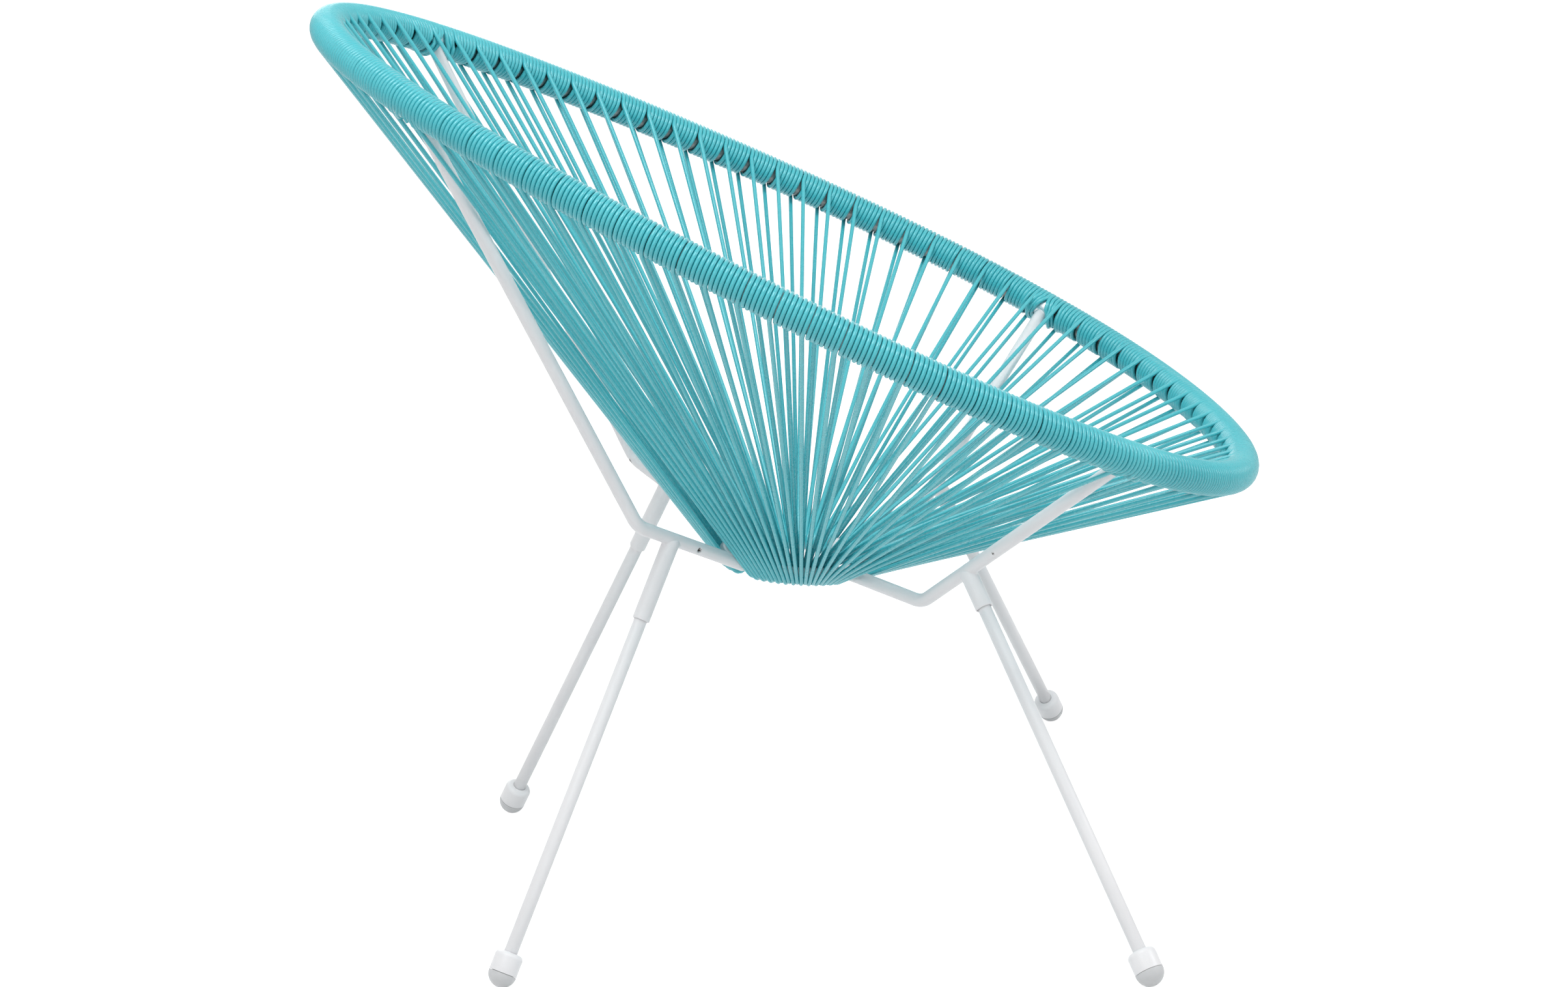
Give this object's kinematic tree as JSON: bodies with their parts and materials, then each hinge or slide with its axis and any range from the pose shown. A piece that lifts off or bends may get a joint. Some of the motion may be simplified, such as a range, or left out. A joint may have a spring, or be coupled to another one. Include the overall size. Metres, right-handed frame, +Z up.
{
  "type": "acapulco chair",
  "caption": "Low lounge chair: egg shaped steel hoop wound with round PVC cord, a cone of taut cord strands down to a small ring, bent rod struts and splayed screw-in legs with domed feet.",
  "frame": {"origin": "centre of the overall box at floor level", "axes": "+X forward, the way the sitter faces, +Y to the sitter's left, +Z up"},
  "size_m": [0.7972, 0.7586, 0.8211],
  "materials": {
    "painted_steel": "white powder coat on steel, satin gloss, small chips and runs at the welds",
    "tube_steel": "bare galvanised steel tube, dull metallic grey, seen only in gaps of the cord winding",
    "cord": "smooth glossy turquoise PVC cord",
    "glide_plastic": "pale grey translucent moulded plastic",
    "zinc_plate": "zinc plated threaded steel"
  },
  "bodies": {
    "seat_frame": {"hoop_tube": "tube_steel", "lower_ring": "painted_steel", "strut_front_left": "painted_steel", "strut_front_right": "painted_steel", "strut_back_left": "painted_steel", "strut_back_right": "painted_steel", "hoop_winding_front": "cord", "hoop_winding_left": "cord", "hoop_winding_back": "cord", "hoop_winding_right": "cord", "lacing_front_1": "cord", "lacing_front_2": "cord", "lacing_front_3": "cord", "lacing_left_1": "cord", "lacing_left_2": "cord", "lacing_left_3": "cord", "lacing_left_4": "cord", "lacing_back_1": "cord", "lacing_back_2": "cord", "lacing_back_3": "cord", "lacing_right_1": "cord", "lacing_right_2": "cord", "lacing_right_3": "cord", "lacing_right_4": "cord", "leg_socket_front_left": "painted_steel", "socket_nut_front_left": "zinc_plate", "leg_socket_front_right": "painted_steel", "socket_nut_front_right": "zinc_plate", "leg_socket_back_left": "painted_steel", "socket_nut_back_left": "zinc_plate", "leg_socket_back_right": "painted_steel", "socket_nut_back_right": "zinc_plate"},
    "leg_front_left": {"leg_rod_front_left": "painted_steel", "leg_stud_front_left": "zinc_plate", "foot_ferrule_front_left": "painted_steel", "foot_glide_front_left": "glide_plastic"},
    "leg_front_right": {"leg_rod_front_right": "painted_steel", "leg_stud_front_right": "zinc_plate", "foot_ferrule_front_right": "painted_steel", "foot_glide_front_right": "glide_plastic"},
    "leg_back_left": {"leg_rod_back_left": "painted_steel", "leg_stud_back_left": "zinc_plate", "foot_ferrule_back_left": "painted_steel", "foot_glide_back_left": "glide_plastic"},
    "leg_back_right": {"leg_rod_back_right": "painted_steel", "leg_stud_back_right": "zinc_plate", "foot_ferrule_back_right": "painted_steel", "foot_glide_back_right": "glide_plastic"}
  },
  "joints": [
    {"name": "leg_screw_front_left", "type": "slide", "parent": "seat_frame", "child": "leg_front_left", "axis": [0.294, 0.5444, -0.7856], "range_m": [0, 0.012]},
    {"name": "leg_screw_front_right", "type": "slide", "parent": "seat_frame", "child": "leg_front_right", "axis": [0.294, -0.5444, -0.7856], "range_m": [0, 0.012]},
    {"name": "leg_screw_back_left", "type": "slide", "parent": "seat_frame", "child": "leg_back_left", "axis": [-0.4424, 0.3342, -0.8323], "range_m": [0, 0.012]},
    {"name": "leg_screw_back_right", "type": "slide", "parent": "seat_frame", "child": "leg_back_right", "axis": [-0.4424, -0.3342, -0.8323], "range_m": [0, 0.012]}
  ]
}
